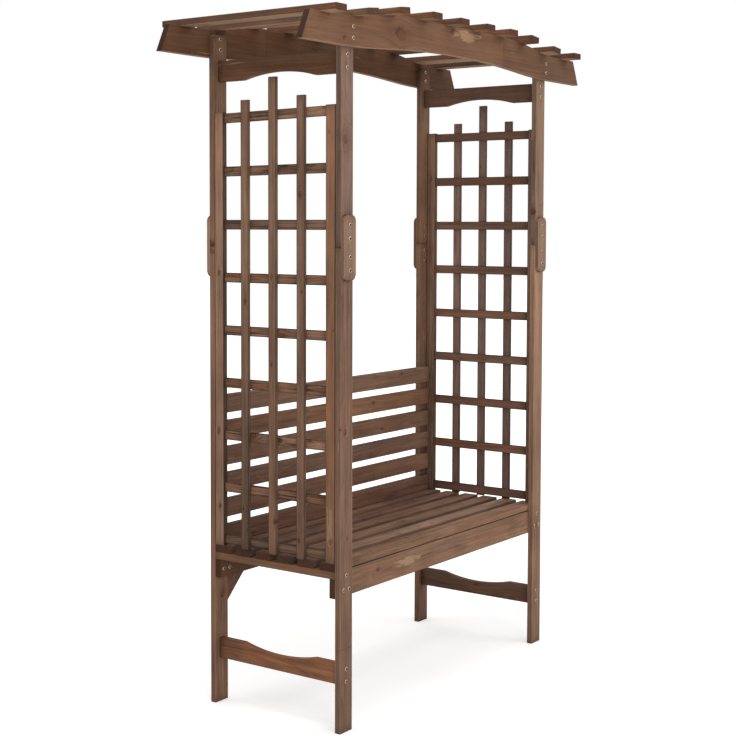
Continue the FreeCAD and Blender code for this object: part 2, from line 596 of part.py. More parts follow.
def beam_outline(sketch):
    """The right half of a roof beam: a double curve along the bottom and the top, and a sloped end."""
    half_foot, half_head, foot, head = beam_ends()
    lift, crown = size("beam_lift"), size("beam_crown")
    foot_end, foot_bend = size("foot_curve_half"), size("foot_bend_half")
    head_end, head_bend, flat = size("head_curve_half"), size("head_bend_half"), size("head_flat_half")

    def double_curve(start, bend, finish, high, drop):
        """Two arcs from a level start down to a level finish, and their centres."""
        steepest = 2 * math.atan(drop / (finish - start))
        hump = (bend - start) / math.sin(steepest)
        hollow = (finish - bend) / math.sin(steepest)
        turn = Vector(bend, high - hump * (1 - math.cos(steepest)))
        hump_middle = Vector(start + hump * math.sin(steepest / 2),
                             high - hump * (1 - math.cos(steepest / 2)))
        hollow_middle = Vector(finish - hollow * math.sin(steepest / 2),
                               high - drop + hollow * (1 - math.cos(steepest / 2)))
        return (Part.Arc(Vector(start, high), hump_middle, turn),
                Part.Arc(turn, hollow_middle, Vector(finish, high - drop)))

    low_hump, low_hollow = double_curve(0, foot_bend, foot_end, foot + lift, lift)
    top_hump, top_hollow = double_curve(flat, head_bend, head_end, head + crown, crown)
    pieces = [
        low_hump,
        low_hollow,
        Part.LineSegment(Vector(foot_end, foot), Vector(half_foot, foot)),
        Part.LineSegment(Vector(half_foot, foot), Vector(half_head, head)),
        Part.LineSegment(Vector(half_head, head), Vector(head_end, head)),
        top_hollow,
        top_hump,
        Part.LineSegment(Vector(flat, head + crown), Vector(0, head + crown)),
        Part.LineSegment(Vector(0, head + crown), Vector(0, foot + lift)),
    ]
    for piece in pieces:
        sketch.addGeometry(piece)
    # An arc's points run anticlockwise: the humps run from right to left, the hollows left to right.
    links = [("Tangent", 0, 1, 1, 1), ("Coincident", 1, 2, 2, 1), ("Coincident", 2, 2, 3, 1),
             ("Coincident", 3, 2, 4, 1), ("Coincident", 4, 2, 5, 2), ("Tangent", 5, 1, 6, 1),
             ("Coincident", 6, 2, 7, 1), ("Coincident", 7, 2, 8, 1), ("Coincident", 8, 2, 0, 2)]
    links += [("Horizontal", line) for line in (2, 4, 7)]
    links += [("PointOnObject", 8, point, -2) for point in (1, 2)]
    # The centre of each arc lies straight above or below its level end.
    links += [("Vertical", arc, 3, arc, 2) for arc in (0, 1, 5, 6)]
    for link in links:
        sketch.addConstraint(Sketcher.Constraint(*link))
    bind(sketch, Sketcher.Constraint("DistanceY", -1, 1, 2, 1, foot), BEAM_FOOT)
    bind(sketch, Sketcher.Constraint("DistanceY", 2, 1, 8, 2, lift), "Sizes.beam_lift")
    bind(sketch, Sketcher.Constraint("DistanceY", 2, 2, 3, 2, head - foot), "Sizes.beam_height")
    bind(sketch, Sketcher.Constraint("DistanceY", 4, 2, 7, 1, crown), "Sizes.beam_crown")
    widths = [(0, 1, foot_bend, "Sizes.foot_bend_half"), (1, 2, foot_end, "Sizes.foot_curve_half"),
              (2, 2, half_foot, BEAM_HALF), (3, 2, half_head, f"{BEAM_HALF} - Sizes.beam_end_slope"),
              (5, 2, head_end, "Sizes.head_curve_half"), (5, 1, head_bend, "Sizes.head_bend_half"),
              (7, 1, flat, "Sizes.head_flat_half")]
    for piece, point, value, expression in widths:
        bind(sketch, Sketcher.Constraint("DistanceX", -1, 1, piece, point, value), expression)


def make_roof_beams(housings):
    """Two curved beams, in front of the front posts and behind the back posts."""
    for end in ENDS:
        name = f"beam_{end}"
        body = doc.addObject("PartDesign::Body", name)
        sketch = sketch_on(body, "XZ_Plane", f"{name}_outline")
        beam_outline(sketch)
        half = pad(body, sketch, "Sizes.beam_thickness", f"{name}_half")
        whole = body.newObject("PartDesign::Mirrored", f"{name}_whole")
        whole.Originals = [half]
        whole.MirrorPlane = (origin_plane(body, "YZ_Plane"), [""])
        body.Tip = whole
        outer = f"-{LEG_FACE}" if end == "front" else f"{LEG_FACE} + Sizes.beam_thickness"
        place(body, "0", outer, "0")
        doc.recompute()
        drilled(f"roof_beam_{end}", cut(f"{name}_housed", body, housings))


def make_roof():
    """Slats from front to back, unevenly spaced, each let a little into the top of both beams."""
    half_width = size("roof_slat_width") / 2
    half_length = size("clear_depth") / 2 + size("post_thickness") + size("beam_thickness")
    half_length += size("roof_overhang")
    first = beam_ends()[1] - size("roof_edge")
    housings = []
    for number in range(1, ROOF_SLATS + 1):
        x = first * (2 * (number - 1) / (ROOF_SLATS - 1) - 1)
        if number in SHIFTED_SLATS:
            x += size(f"roof_shift_{number}")
        height, slope = crown_height(x)
        tilt = Rotation(Vector(0, 1, 0), -math.degrees(slope))
        seat = Vector(x, 0, height) - tilt.multVec(Vector(0, 0, size("housing_depth")))
        body = slat(f"roof_slat_{number}", ROOF_DEPTH, "Sizes.roof_slat_width",
                    "Sizes.roof_slat_thickness", "Y")
        body.Placement = Placement(seat + tilt.multVec(Vector(-half_width, half_length, 0)), tilt)
        keep(body, f"roof_slat_{number:02d}")
        corner = Vector(-half_width - size("housing_clearance"), -half_length, 0)
        start = seat + tilt.multVec(corner)
        housing = box(f"housing_{number}", "Sizes.roof_slat_width + 2 * Sizes.housing_clearance",
                      ROOF_DEPTH, "Sizes.roof_slat_thickness", start.x, start.y, start.z)
        housing.Placement = Placement(start, tilt)
        housings.append(housing)
    make_roof_beams(group("housings", housings))


make_posts()
make_splice_plates()
make_side_boards()
make_seat_frame()
make_corner_braces()
make_seat_slats()
make_back_slats()
for side in SIDES:
    make_trellis(side)
make_roof()
doc.recompute()

for obj in doc.Objects:
    if "Invalid" in obj.State or "Error" in obj.State:
        raise RuntimeError(f"{obj.Label} did not compute: {obj.State}")
for obj in nodes:
    if obj.Shape.isNull() or not obj.Shape.isValid() or not obj.Shape.Solids:
        raise RuntimeError(f"{obj.Label} has no valid solid")
for obj in nodes:
    obj.Shape.exportStep(os.path.join("parts", f"{obj.Label}.step"))
print(len(nodes), "nodes,", sum(len(obj.Shape.Solids) for obj in nodes), "solids")
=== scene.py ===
"""Looks of the arbour seat: brown-stained softwood boards, plated screws and brads, a pale studio."""
import contextlib
import math
import random

import bpy
from mathutils import Matrix, Vector


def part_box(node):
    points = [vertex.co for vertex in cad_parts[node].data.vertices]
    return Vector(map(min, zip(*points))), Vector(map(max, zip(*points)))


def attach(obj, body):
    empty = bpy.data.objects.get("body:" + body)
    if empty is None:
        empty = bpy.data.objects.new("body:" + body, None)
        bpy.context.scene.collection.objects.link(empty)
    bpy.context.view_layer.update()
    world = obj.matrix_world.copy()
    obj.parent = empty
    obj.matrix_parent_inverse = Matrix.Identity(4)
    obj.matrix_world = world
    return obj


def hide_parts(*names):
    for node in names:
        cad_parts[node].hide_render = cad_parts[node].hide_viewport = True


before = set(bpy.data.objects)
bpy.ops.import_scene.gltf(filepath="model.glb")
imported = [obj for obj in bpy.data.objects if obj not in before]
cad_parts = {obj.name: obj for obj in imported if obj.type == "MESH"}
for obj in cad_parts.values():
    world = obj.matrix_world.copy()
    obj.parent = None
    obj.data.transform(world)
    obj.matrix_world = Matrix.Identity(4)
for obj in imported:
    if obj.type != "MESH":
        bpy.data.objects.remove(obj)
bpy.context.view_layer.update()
scene = bpy.context.scene


def linear(*rgb):
    """A colour picked as 0 to 255 screen values, as the shader wants it."""
    parts = [part / 255 for part in rgb]
    return tuple(part / 12.92 if part <= 0.04045 else ((part + 0.055) / 1.055) ** 2.4 for part in parts)


class Value:
    """An output socket in a shader, with arithmetic that adds the Math nodes."""

    def __init__(self, finish, socket):
        self.finish = finish
        self.socket = socket

    def math(self, operation, *others):
        return self.finish.node("ShaderNodeMath", {"operation": operation}, [self, *others])

    def __add__(self, other):
        return self.math("ADD", other)

    __radd__ = __add__

    def __sub__(self, other):
        return self.math("SUBTRACT", other)

    def __rsub__(self, other):
        return self.finish.node("ShaderNodeMath", {"operation": "SUBTRACT"}, [other, self])

    def __mul__(self, other):
        return self.math("MULTIPLY", other)

    def __truediv__(self, other):
        return self.math("DIVIDE", other)

    def power(self, exponent):
        return self.math("POWER", exponent)

    def fraction(self):
        return self.math("FRACT")

    def size(self):
        return self.math("ABSOLUTE")

    def above(self, other):
        return self.math("MAXIMUM", other)

    def ramp(self, low, high):
        """Smoothly 0 at low and 1 at high, whichever is the larger."""
        start, end = (0, 1) if low < high else (1, 0)
        limits = [self, min(low, high), max(low, high), start, end]
        return self.finish.node("ShaderNodeMapRange", {"interpolation_type": "SMOOTHSTEP"}, limits)


class Finish:
    """The shader of a material or of the studio's surroundings, under construction."""

    def __init__(self, owner):
        owner.use_nodes = True
        self.tree = owner.node_tree

    def feed(self, socket, value):
        """Link or set one input."""
        if isinstance(value, Value):
            self.tree.links.new(value.socket, socket)
        elif hasattr(socket.default_value, "__len__") and len(socket.default_value) == 4:
            socket.default_value = (*value, 1)
        else:
            socket.default_value = value

    def surface(self, **sockets):
        """Set or link inputs of the main shader, named with _ for each space."""
        shader = next(node for node in self.tree.nodes if node.type in ("BSDF_PRINCIPLED", "BACKGROUND"))
        for name, value in sockets.items():
            self.feed(shader.inputs[name.replace("_", " ")], value)

    def made(self, kind, settings, sockets):
        """A new node: its settings first, then its sockets by order or by name."""
        node = self.tree.nodes.new(kind)
        for name, setting in settings.items():
            setattr(node, name, setting)
        named = sockets.items() if isinstance(sockets, dict) else enumerate(sockets)
        for key, value in named:
            self.feed(node.inputs[key], value)
        return node

    def node(self, kind, settings, sockets, output=0):
        """One output of a new node."""
        return Value(self, self.made(kind, settings, sockets).outputs[output])

    def note(self, name):
        """A vector stored on the piece."""
        return self.node("ShaderNodeAttribute", {"attribute_name": name}, {}, "Vector")

    def split(self, vector):
        node = self.made("ShaderNodeSeparateXYZ", {}, [vector])
        return [Value(self, socket) for socket in node.outputs]

    def vector(self, x, y, z):
        return self.node("ShaderNodeCombineXYZ", {}, [x, y, z])

    def noise(self, vector, detail, roughness=0.5):
        sockets = {"Vector": vector, "Scale": 1.0, "Detail": detail, "Roughness": roughness}
        return self.node("ShaderNodeTexNoise", {}, sockets)

    def mix(self, factor, first, second):
        """Two colours, mixed."""
        return self.node("ShaderNodeMix", {"data_type": "RGBA"}, {0: factor, 6: first, 7: second}, 2)

    def tint(self, colour, amount):
        """A colour made lighter or darker by a number round 1."""
        return self.node("ShaderNodeVectorMath", {"operation": "SCALE"}, {0: colour, "Scale": amount})

    def bump(self, height, strength, distance):
        sockets = {"Height": height, "Strength": strength, "Distance": distance}
        return self.node("ShaderNodeBump", {}, sockets)


KNOT_HEART = linear(56, 34, 24)
KNOT_BODY = linear(106, 62, 38)
PALE_WOOD = linear(176, 145, 116)
FOX_RED = linear(126, 76, 54)
ASH_BROWN = linear(112, 94, 78)
END_BROWN = linear(82, 45, 26)
UNDERSIDE_BOUNCE_LIGHT = linear(172, 149, 122)
KNOTS_EACH = 3
RING_WIDTH = 0.0046
FINGER_WIDTH = 0.0038

# The grain's noises: cells to a metre across the board and along it, their shift across and in depth,
# their detail and their roughness.
NOISES = {
    "wobble": (70, 50, 0, 0, 2.0, 0.5),
    "bend": (2.6, 1.5, 0, 0, 1.0, 0.5),
    "swirl": (16, 6, 0, 0, 2.0, 0.5),
    "fibre": (640, 12, 0, 0, 2.0, 0.6),
    "streak": (150, 4.2, 0, 0, 3.0, 0.55),
    "patch": (34, 4.5, 0, 0, 2.0, 0.5),
    "blotch": (7, 6, 3, 0, 3.0, 0.6),
    "hue": (62, 2.4, 0, 5, 2.0, 0.5),
    "tear": (85, 9, 0, 0, 2.0, 0.6),
    "check": (330, 7, 0, 0, 1.0, 0.5),
    "flake": (170, 24, 0, 0, 2.0, 0.6),
}

# How strongly each part of the figure shades the stain, and the stain's tone before that.
FIBRE_DEPTH = 0.50
STREAK_DEPTH = 1.15
PATCH_DEPTH = 0.72
BLOTCH_DEPTH = 0.85
LATE_WOOD_DEPTH = 0.32
PLAIN_TONE = 1.04


def grain_noise(finish, name, x, y, z):
    """One of the grain's noises at a place in the log."""
    across, along, shift_x, shift_y, detail, roughness = NOISES[name]
    place = finish.vector(x * across + shift_x, y * across + shift_y, z * along)
    return finish.noise(place, detail, roughness)


def knots_in(finish, across, deep, along, wobble):
    """Knots: the fibres part round each, the rings swell, and the bark leaves a dark rim on one side."""
    knot_tones = finish.split(finish.note("knot_tone"))
    parted, swell, knot, rim, tail = across, 0.0, 0.0, 0.0, 0.0
    for number in range(KNOTS_EACH):
        knot_across, knot_along, knot_size = finish.split(finish.note(f"knot_{number + 1}"))
        sideways = across - knot_across + deep * 0.35
        lengthways = (along - knot_along) * 0.82
        spread = (sideways * sideways + lengthways * lengthways).power(0.5) / knot_size + wobble * 1.3
        near = spread.ramp(4.2, 0.9)
        parted = parted - sideways * near * 0.75
        swell = near * knot_size * 1.1 + swell
        one_side = ((sideways + lengthways * 0.7) / knot_size + wobble * 3).ramp(1.2, -0.6)
        edge = spread.ramp(1.5, 1.05) * spread.ramp(0.55, 1.0)
        knot = (spread.ramp(1.08, 0.86) * knot_tones[number]).above(knot)
        rim = (edge * knot_tones[number] * one_side).above(rim)
        tail = ((sideways.size() / knot_size).ramp(1.5, 0.1) * near * knot_tones[number]).above(tail)
    return parted, swell, knot, rim, tail


def timber(name, end_grain=False):
    """Stained softwood: growth rings, fibres, torn patches, checks, knots, finger joints, worn arrises,
    with painted light and shade by face and along the board.
    """
    material = bpy.data.materials.new(name)
    finish = Finish(material)
    across, deep, along = finish.split(finish.note("place"))
    half_wide, half_thick, half_long = finish.split(finish.note("reach"))
    heart_x, heart_y, heart_z = finish.split(finish.note("heart"))
    arris_tone, side_painted_shade, figure = finish.split(finish.note("wear_and_side_shade"))
    torn_across, torn_along, torn_length = finish.split(finish.note("torn"))
    joint_along, joint_tone, joint_line = finish.split(finish.note("joint"))
    underside_painted_light_and_shade, top_painted_shade_and_light, end_tone = finish.split(finish.note("painted_face_light_and_end_tone"))
    low_end_shading, high_end_shading, shading_reach = finish.split(finish.note("painted_shading_along"))
    facing = finish.split(finish.node("ShaderNodeNewGeometry", {}, {}, "Normal"))[2]
    from_side = half_wide - across.size()
    from_end = half_long - along.size()

    z = along + heart_z
    wobble = grain_noise(finish, "wobble", across + heart_x, deep + heart_y, z) - 0.5
    parted, swell, knot, rim, tail = knots_in(finish, across, deep, along, wobble)
    x = parted + heart_x
    y = deep + heart_y
    bend, swirl, fibre, streak, patch, blotch, hue, tear, check, flake = [
        grain_noise(finish, name, x, y, z) for name in
        ("bend", "swirl", "fibre", "streak", "patch", "blotch", "hue", "tear", "check", "flake")]

    # The log wanders a little along its length, which turns straight rings into long arches.
    radius = (x * x + y * y).power(0.5) + (bend - 0.5) * 0.05 + (swirl - 0.5) * 0.012 + swell
    ring = (radius / RING_WIDTH).fraction()
    late_wood = ring.power(3.0) * ring.ramp(1.0, 0.9)

    texture = (fibre - 0.5) * FIBRE_DEPTH + (streak - 0.5) * STREAK_DEPTH + (patch - 0.5) * PATCH_DEPTH
    texture = texture - late_wood * LATE_WOOD_DEPTH + (blotch - 0.5) * BLOTCH_DEPTH
    colour = finish.note("stain")
    colour = finish.mix(hue.ramp(0.46, 0.66) * figure * 0.20, colour, FOX_RED)
    colour = finish.mix(hue.ramp(0.50, 0.34) * figure * 0.22, colour, ASH_BROWN)
    colour = finish.tint(colour, PLAIN_TONE + texture * figure)

    # Where the planer tore the fibres the stain took less, in sharp-edged pale patches and flecks.
    torn_off = (along - torn_along) / torn_length
    torn_by = (across - torn_across) / (torn_length * 0.15 + 0.003)
    torn_patch = (0.9 - torn_off * torn_off - torn_by * torn_by + (flake - 0.5) * 4.4).ramp(0.0, 0.5)
    pale = (torn_patch * (fibre + 0.9)).above(tear.ramp(0.68, 0.74) * patch.ramp(0.36, 0.5))
    colour = finish.mix(pale * 0.42, colour, PALE_WOOD)
    checks = (check + figure * 0.1).ramp(0.77, 0.84) * tear.ramp(0.45, 0.6)
    colour = finish.tint(colour, 1.0 - checks * 0.45 * figure)

    colour = finish.tint(finish.mix(tail * 0.3, colour, FOX_RED), 1.0 - tail * 0.18)
    colour = finish.mix(knot * 0.72, colour, KNOT_BODY)
    knot_rings = (radius * 900).fraction().ramp(0.5, 0.95) * knot
    colour = finish.mix(rim * 0.8 + knot_rings * 0.5, colour, KNOT_HEART)

    # Stain gathers or rubs off along the arrises, and the boards darken near their ends. The narrow sides
    # carry painted shade of light kept off by the lattice, posts and slats; below zero, painted light.
    arris_gap = from_side.above(half_thick - deep.size())
    arris = arris_gap.ramp(0.0034, 0.0008) * (fibre * 0.6 + streak * 0.9)
    # Painted shade on the narrow sides.
    narrow_side = from_side.ramp(0.0012, 0.0004)
    colour = finish.tint(colour, (1.0 + arris * arris_tone * 1.5) * (1.0 - narrow_side * side_painted_shade))
    tip = from_end.ramp(0.028, 0.0) * streak.ramp(0.25, 0.7)
    seam = from_end.ramp(0.0036, 0.0010)
    # Painted light on undersides, pale and straw-coloured as if lit from the floor below; where the number
    # is below zero, painted shade instead.
    under = facing.ramp(-0.10, -0.55) * underside_painted_light_and_shade
    # Painted shade on upward faces; where the number is below zero, painted light on the top face.
    upper = facing.ramp(0.08, 0.5) * top_painted_shade_and_light
    colour = finish.mix(under * 0.4, colour, UNDERSIDE_BOUNCE_LIGHT)
    colour = finish.tint(colour, (1.0 - tip * 0.36 - seam * 0.28) * (1.0 + under * 0.7) * (1.0 - upper))

    # Painted light and shade drift from one end of a board to the other: ends in the shade of the roof,
    # posts and trellis are darker, ends where more light falls are paler.
    low_end = ((half_long + along) / shading_reach).ramp(1.0, 0.0)
    high_end = ((half_long - along) / shading_reach).ramp(1.0, 0.0)
    colour = finish.tint(colour, 1.0 + low_end * low_end_shading + high_end * high_end_shading)

    # A finger joint: straight across the face, toothed on the sides, and another stain beyond it.
    tooth = ((deep / FINGER_WIDTH).fraction() - 0.5).size() * 0.018 * narrow_side
    beyond = along - joint_along + tooth
    line = beyond.size().ramp(0.0014, 0.0003) * joint_line
    colour = finish.tint(colour, (1.0 + beyond.ramp(-0.0002, 0.0002) * joint_tone) * (1.0 - line))
    if end_grain:
        colour = finish.tint(finish.mix(0.6, colour, END_BROWN), (1.0 - late_wood * 0.35) * end_tone)

    rough = 0.70 + (fibre - 0.5) * 0.24 - late_wood * 0.08 + pale * 0.1
    height = fibre * 0.55 + late_wood * 0.3 + knot * 0.4 - checks * 0.9 - pale * 0.25 - swirl * 0.3 - line
    finish.surface(Base_Color=colour, Roughness=rough, Specular_IOR_Level=0.16,
                   Normal=finish.bump(height, 0.45, 0.0008))
    return material


def plated_steel(name, colour, rough):
    """Plated metal: brushed by the driver, duller in patches."""
    material = bpy.data.materials.new(name)
    finish = Finish(material)
    x, y, z = finish.split(finish.node("ShaderNodeTexCoord", {}, {}, "Object"))
    dirt = finish.noise(finish.vector(x * 420, y * 420, z * 420), 3.0, 0.6)
    scratches = finish.noise(finish.vector(x * 1900, y * 300, z * 2600), 1.0)
    worn = finish.mix(dirt.ramp(0.48, 0.66) * 0.6, colour, [part * 0.35 for part in colour])
    finish.surface(Base_Color=worn, Metallic=0.7, Roughness=rough + (dirt - 0.5) * 0.3,
                   Normal=finish.bump(scratches, 0.2, 0.0002))
    return material


FACE_GRAIN = timber("stained timber")
END_GRAIN = timber("stained timber end", end_grain=True)
SCREW_PLATE = plated_steel("brown plated steel", linear(234, 212, 186), 0.28)
SCREW_SHADE = plated_steel("tarnished steel with painted rim shade", linear(104, 78, 60), 0.55)
BRAD_STEEL = plated_steel("dull brad steel", linear(128, 108, 90), 0.5)


def select_only(*objects):
    """Select these objects, with the first as the active one."""
    bpy.ops.object.select_all(action="DESELECT")
    for obj in objects:
        obj.select_set(True)
    bpy.context.view_layer.objects.active = objects[0]


@contextlib.contextmanager
def all_of(piece):
    """Edit mode with the whole of one piece selected."""
    select_only(piece)
    bpy.ops.object.mode_set(mode="EDIT")
    bpy.ops.mesh.select_all(action="SELECT")
    yield
    bpy.ops.object.mode_set(mode="OBJECT")


def apply_modifier(piece, kind, name, **settings):
    """Put a modifier on a piece and bake it in."""
    select_only(piece)
    modifier = piece.modifiers.new(name, kind)
    for key, value in settings.items():
        setattr(modifier, key, value)
    bpy.ops.object.modifier_apply(modifier=modifier.name)


def longest_fit(table, node):
    """The entry whose name is the longest start of the node's name."""
    return table[max((start for start in table if node.startswith(start)), key=len)]


def extent(points):
    """The lowest and the highest corner round some points."""
    return [Vector([end(point[i] for point in points) for i in range(3)]) for end in (min, max)]


def middle_of(node):
    """The middle of a node's box."""
    low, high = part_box(node)
    return (low + high) / 2


# Stains, as the eye sees them in plain light.
CREAM = (155, 121, 98)
SAND = (141, 112, 93)
ROSE = (138, 112, 94)
HONEY = (142, 99, 72)
AMBER = (130, 92, 67)
CHESTNUT = (130, 100, 79)
FAWN = (126, 96, 77)
MAUVE = (125, 98, 83)
UMBER = (117, 85, 65)
SMOKE = (114, 93, 83)
TEAK = (108, 80, 65)
RUSSET = (120, 81, 58)
SIENNA = (144, 94, 64)
COPPER = (144, 105, 79)
OAK = (118, 84, 61)
PEAT = (97, 65, 43)
BARK = (101, 70, 50)
WALNUT = (95, 68, 52)

# The stains that the boards of a node take in turn.
STAINS = {
    "": [CHESTNUT],
    "post": [FAWN],
    "post_upper_back_left": [CHESTNUT],
    "post_upper_front_left": [MAUVE],
    "post_lower_front_right": [CREAM],
    "post_upper_front_right": [ROSE],
    "post_upper_back_right": [COPPER],
    "splice": [SAND],
    "splice_plate_back_right": [TEAK],
    "side_stretcher_left": [SIENNA],
    "side_stretcher_right": [WALNUT],
    "side_rail_top": [PEAT],
    "side_rail_top_right": [WALNUT],
    "seat_rail_back": [BARK],
    "seat_bearer": [AMBER],
    "corner_brace": [TEAK],
    "seat_slat": [FAWN],
    "seat_slat_1": [CHESTNUT],
    "seat_slat_2": [ROSE],
    "seat_slat_4": [UMBER],
    "seat_slat_5": [TEAK],
    "backrest_slat": [UMBER],
    "backrest_slat_1": [TEAK],
    "backrest_slat_3": [TEAK],
    "backrest_slat_6": [FAWN],
    "trellis_left_stile_front": [COPPER],
    "trellis_left_stile_back": [CREAM],
    "trellis_left_rails": [UMBER, FAWN, UMBER, CHESTNUT],
    "trellis_left_uprights": [CHESTNUT, CHESTNUT, FAWN],
    "trellis_right_rails": [TEAK, TEAK, UMBER],
    "trellis_right_uprights": [SMOKE],
    "trellis_right_stile_front": [SMOKE],
    "roof_beam_front": [OAK],
    "roof_beam_back": [PEAT],
    "roof_slat": [RUSSET, UMBER],
    "roof_slat_02": [CHESTNUT],
    "roof_slat_03": [HONEY],
    "roof_slat_08": [BARK],
    "roof_slat_09": [BARK],
    "roof_slat_10": [WALNUT],
}

# How much paler the arrises are, how much painted shade darkens the narrow sides (below zero, painted light
# pales them), and how strong the figure is.
WEAR_AND_SIDE_SHADE = {
    "": (-0.10, 0.12, 1.0),
    "post": (0.15, 0.06, 1.0),
    "post_lower_back_left": (0.15, -0.06, 1.0),
    "post_lower_front": (0.22, -0.02, 0.9),
    "post_lower_front_right": (0.22, 0.12, 0.9),
    "post_upper_front": (0.22, 0.24, 0.9),
    "post_upper_back_right": (0.15, 0.30, 1.0),
    "splice_plate_front": (0.30, 0.18, 0.6),
    "splice_plate_front_right": (0.30, 0.42, 0.6),
    "splice_plate_back": (0.30, -0.25, 0.6),
    "splice_plate_back_right": (0.05, 0.05, 0.6),
    "trellis": (-0.40, 0.28, 0.9),
    "trellis_left_rails": (-0.55, 0.28, 1.9),
    "trellis_left_stile_back": (-0.3, 0.78, 1.0),
    "trellis_right_stile_back": (-0.3, 0.5, 1.0),
    "seat_slat": (-0.20, 0.38, 1.3),
    "seat_slat_1": (-0.10, 0.02, 1.2),
    "seat_apron": (-0.05, 0.10, 1.0),
    "side_rail_top": (-0.10, 0.12, 0.7),
    "roof_beam": (0.05, 0.10, 0.7),
    "roof_slat": (0.05, 0.10, 0.9),
}

# How much painted light pales the underside (below zero, painted shade darkens it), how much painted shade
# darkens the upper edge (below zero, painted light pales it), and the tone of the ends.
PAINTED_FACE_LIGHT_AND_END_TONE = {
    "": (0.15, 0.0, 0.86),
    "side_stretcher_left": (0.15, -0.45, 0.86),
    "roof_beam": (0.75, 0.0, 0.45),
    "roof_slat": (0.55, 0.0, 1.0),
    "roof_slat_01": (0.75, 0.0, 1.0),
    "roof_slat_08": (0.15, 0.0, 1.0),
    "roof_slat_09": (0.95, 0.0, 1.0),
    "roof_slat_10": (0.8, 0.0, 1.0),
    # Painted shadow of the gap between the front seat slat and the apron, on the apron's upper edge and on
    # the slat's underside.
    "seat_apron_front": (0.0, 0.95, 0.8),
    "seat_slat": (0.0, 0.0, 0.75),
    "seat_slat_1": (-1.35, 0.0, 0.65),
}

# Painted light and shade along a board: how much paler a board's low, front or left end is painted, how
# much paler its other end is, and how far that reaches. A number counts the boards of a node from low to
# high, then from front to back.
PAINTED_SHADING_ALONG = {
    "": (0.0, 0.0, 0.1),
    "backrest_slat_1": (-0.24, 0.08, 1.1),
    "backrest_slat_2": (0.0, 0.36, 0.3),
    "backrest_slat_3": (0.0, 0.5, 0.22),
    "post_lower": (-0.12, 0.0, 0.25),
    "post_lower_back_left": (-0.05, 0.38, 0.85),
    "post_lower_front_right": (-0.24, 0.16, 0.6),
    "post_upper_back_left": (0.10, -0.28, 0.2),
    "post_upper_back_right": (0.14, -0.55, 0.13),
    "post_upper_front_left": (-0.08, 0.0, 0.6),
    "post_upper_front_right": (-0.06, -0.06, 0.15),
    "roof_slat_01": (0.24, -0.17, 0.35),
    "seat_apron_front": (-0.18, 0.26, 0.35),
    "seat_slat_1": (-0.30, 0.18, 0.5),
    "seat_slat_2": (0.0, 0.22, 0.25),
    "seat_slat_3": (-0.10, 0.14, 0.25),
    "seat_slat_4": (0.0, 0.45, 0.14),
    "seat_slat_5": (0.0, 0.8, 0.32),
    "seat_slat_6": (0.0, 0.22, 0.2),
    "side_rail_top_right": (-0.28, 0.0, 0.12),
    "side_stretcher_left": (0.16, -0.28, 0.15),
    "trellis_left_stile_back": (-0.12, 0.10, 1.2),
    "trellis_left_stile_front": (-0.14, 0.08, 1.2),
    "trellis_right_stile_back": (-0.12, 0.20, 1.2),
    "trellis_right_stile_front": (0.24, 0.18, 1.5),
    "trellis_left_uprights 0": (-0.48, 0.16, 1.0),
    "trellis_left_uprights 1": (-0.12, 0.06, 0.6),
    "trellis_left_uprights 2": (-0.10, 0.14, 0.8),
    "trellis_left_rails": (0.12, 0.12, 0.4),
    "trellis_left_rails 0": (-0.28, -0.28, 0.4),
    "trellis_right_uprights 0": (-0.06, -0.12, 1.4),
    "trellis_right_uprights 1": (0.14, 0.24, 1.4),
    "trellis_right_uprights 2": (0.10, 0.04, 1.4),
    "trellis_right_rails": (0.08, 0.08, 0.4),
    "trellis_right_rails 1": (0.32, 0.32, 0.4),
    "trellis_right_rails 7": (-0.27, -0.27, 0.4),
    "trellis_right_rails 8": (-0.18, -0.18, 0.4),
}

# How wide the eased arrises are.
ARRIS = {"": 0.0014, "trellis": 0.0011, "splice": 0.0022, "roof_slat": 0.0012, "seat": 0.0018,
         "seat_apron": 0.0024, "seat_slat_1": 0.0022}

